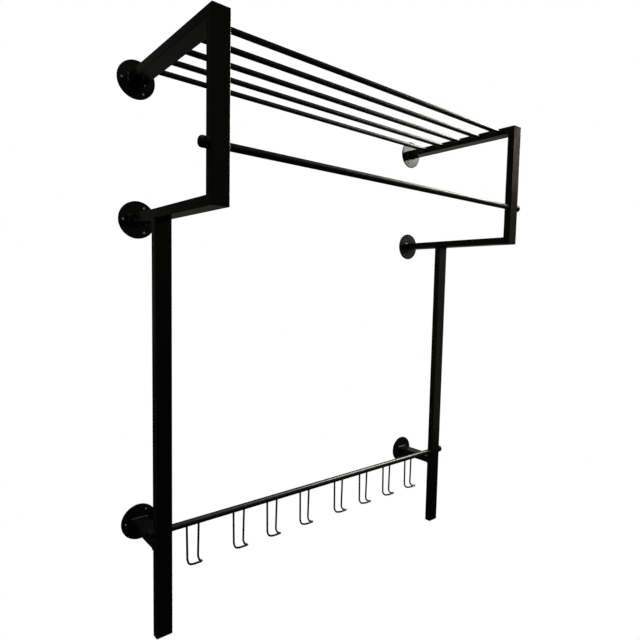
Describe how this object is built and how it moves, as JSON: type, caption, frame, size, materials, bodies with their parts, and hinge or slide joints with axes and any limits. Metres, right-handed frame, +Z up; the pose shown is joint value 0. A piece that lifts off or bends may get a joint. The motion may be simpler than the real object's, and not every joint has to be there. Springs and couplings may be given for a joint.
{
  "type": "wall coat rack",
  "caption": "Wall-mounted coat rack of welded rectangular tube with a rod shelf on top, a hanging rail below it and a lower rail of sliding wire hooks.",
  "frame": {"origin": "on the wall plane, midway between the side frames, level with the lower end of the posts", "axes": "+Z up, +Y into the wall, so the rack stands out towards -Y, and +X to the right seen from the front"},
  "size_m": [0.84, 0.3275, 1.049],
  "materials": {
    "powder_coated_tube": "satin black powder coat on rectangular steel tube",
    "powder_coated_plate": "satin black powder coat on steel plate",
    "powder_coated_bar": "satin black powder coat on round steel bar and tube",
    "powder_coated_wire": "satin black powder coat on bent steel wire",
    "cap_plastic": "moulded, fine matt texture",
    "plug_plastic": "moulded, fine matt texture"
  },
  "bodies": {
    "frame": {"left_top_arm": "powder_coated_tube", "left_front_upright": "powder_coated_tube", "left_lower_arm": "powder_coated_tube", "left_post": "powder_coated_tube", "left_strut": "powder_coated_tube", "right_top_arm": "powder_coated_tube", "right_front_upright": "powder_coated_tube", "right_lower_arm": "powder_coated_tube", "right_post": "powder_coated_tube", "right_strut": "powder_coated_tube", "left_top_flange": "powder_coated_plate", "left_middle_flange": "powder_coated_plate", "left_bottom_flange": "powder_coated_plate", "right_top_flange": "powder_coated_plate", "right_middle_flange": "powder_coated_plate", "right_bottom_flange": "powder_coated_plate", "shelf_rod_1": "powder_coated_bar", "shelf_rod_2": "powder_coated_bar", "shelf_rod_3": "powder_coated_bar", "shelf_rod_4": "powder_coated_bar", "shelf_rod_5": "powder_coated_bar", "hanging_rail": "powder_coated_bar", "hook_rail": "powder_coated_bar", "hanging_rail_cap_left": "cap_plastic", "hanging_rail_cap_right": "cap_plastic", "hook_rail_cap_left": "cap_plastic", "hook_rail_cap_right": "cap_plastic", "left_post_plug": "plug_plastic", "right_post_plug": "plug_plastic"},
    "hook_1": {"hook_1": "powder_coated_wire"},
    "hook_2": {"hook_2": "powder_coated_wire"},
    "hook_3": {"hook_3": "powder_coated_wire"},
    "hook_4": {"hook_4": "powder_coated_wire"},
    "hook_5": {"hook_5": "powder_coated_wire"},
    "hook_6": {"hook_6": "powder_coated_wire"},
    "hook_7": {"hook_7": "powder_coated_wire"},
    "hook_8": {"hook_8": "powder_coated_wire"}
  },
  "joints": [
    {"name": "hook_1_slide", "type": "slide", "parent": "frame", "child": "hook_1", "axis": [1, 0, 0], "range_m": [-0.0275, 0.0335]},
    {"name": "hook_2_slide", "type": "slide", "parent": "frame", "child": "hook_2", "axis": [1, 0, 0], "range_m": [-0.033, 0.023]},
    {"name": "hook_3_slide", "type": "slide", "parent": "frame", "child": "hook_3", "axis": [1, 0, 0], "range_m": [-0.0245, 0.026]},
    {"name": "hook_4_slide", "type": "slide", "parent": "frame", "child": "hook_4", "axis": [1, 0, 0], "range_m": [-0.028, 0.0325]},
    {"name": "hook_5_slide", "type": "slide", "parent": "frame", "child": "hook_5", "axis": [1, 0, 0], "range_m": [-0.035, 0.0225]},
    {"name": "hook_6_slide", "type": "slide", "parent": "frame", "child": "hook_6", "axis": [1, 0, 0], "range_m": [-0.0255, 0.0235]},
    {"name": "hook_7_slide", "type": "slide", "parent": "frame", "child": "hook_7", "axis": [1, 0, 0], "range_m": [-0.026, 0.024]},
    {"name": "hook_8_slide", "type": "slide", "parent": "frame", "child": "hook_8", "axis": [1, 0, 0], "range_m": [-0.026, 0.0745]}
  ]
}
